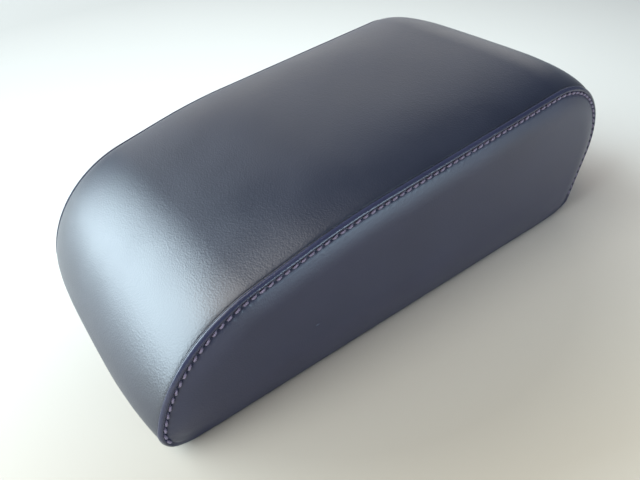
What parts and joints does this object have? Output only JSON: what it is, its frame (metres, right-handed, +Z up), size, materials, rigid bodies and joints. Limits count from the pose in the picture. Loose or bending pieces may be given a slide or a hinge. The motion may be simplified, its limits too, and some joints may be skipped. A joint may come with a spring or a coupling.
{
  "type": "car centre armrest",
  "caption": "Leather-covered padded car centre armrest with a rear hinge bracket and a sprung front latch lever.",
  "frame": {"origin": "centre of the overall box on the plane that the underside rim rests on", "axes": "+Z up, +Y from the nose to the rear hinge, +X to the car's right"},
  "size_m": [0.167, 0.3292, 0.1117],
  "materials": {
    "leather_dark": "fine-grained dark blue leather, satin",
    "leather_side": "fine-grained dark blue-grey leather, satin",
    "thread": "twisted sewing thread",
    "foam": "moulded flexible foam",
    "moulding": "fine-textured moulding",
    "liner_plastic": "fine-textured moulding",
    "bright_steel": "drawn bright steel",
    "zinc_steel": "zinc-plated steel",
    "pressed_steel": "pressed zinc-plated steel",
    "spring_steel": "oiled spring steel",
    "rubber": "matte rubber",
    "nylon": "natural nylon"
  },
  "bodies": {
    "lid": {"top_cover": "leather_dark", "side_cover_left": "leather_side", "side_cover_right": "leather_side", "stitching_left": "thread", "stitching_right": "thread", "foam_pad": "foam", "side_pad_left": "foam", "side_pad_right": "foam", "base_shell": "moulding", "cover_staples": "bright_steel", "underside_liner": "liner_plastic", "liner_screws": "zinc_steel", "rubber_bumpers": "rubber", "hinge_bracket_left": "pressed_steel", "hinge_bracket_right": "pressed_steel", "hinge_bush_left": "nylon", "hinge_bush_right": "nylon", "hinge_spring": "spring_steel", "hinge_screws": "zinc_steel", "latch_housing": "moulding", "latch_pin": "bright_steel", "latch_screws": "zinc_steel"},
    "console_hinge": {"console_bracket": "pressed_steel", "hinge_shaft": "bright_steel", "shaft_clips": "spring_steel"},
    "latch": {"latch_lever": "liner_plastic", "latch_spring": "spring_steel"}
  },
  "joints": [
    {"name": "lid_hinge", "type": "hinge", "parent": "lid", "child": "console_hinge", "pos_m": [0, 0.09739, 0.0095], "axis": [1, 0, 0], "range_deg": [0, 95]},
    {"name": "latch_pivot", "type": "hinge", "parent": "lid", "child": "latch", "pos_m": [0, -0.11799, 0.0085], "axis": [-1, 0, 0], "range_deg": [0, 7], "stiffness_Nm_per_rad": 0.3, "springref_deg": -11.46}
  ]
}
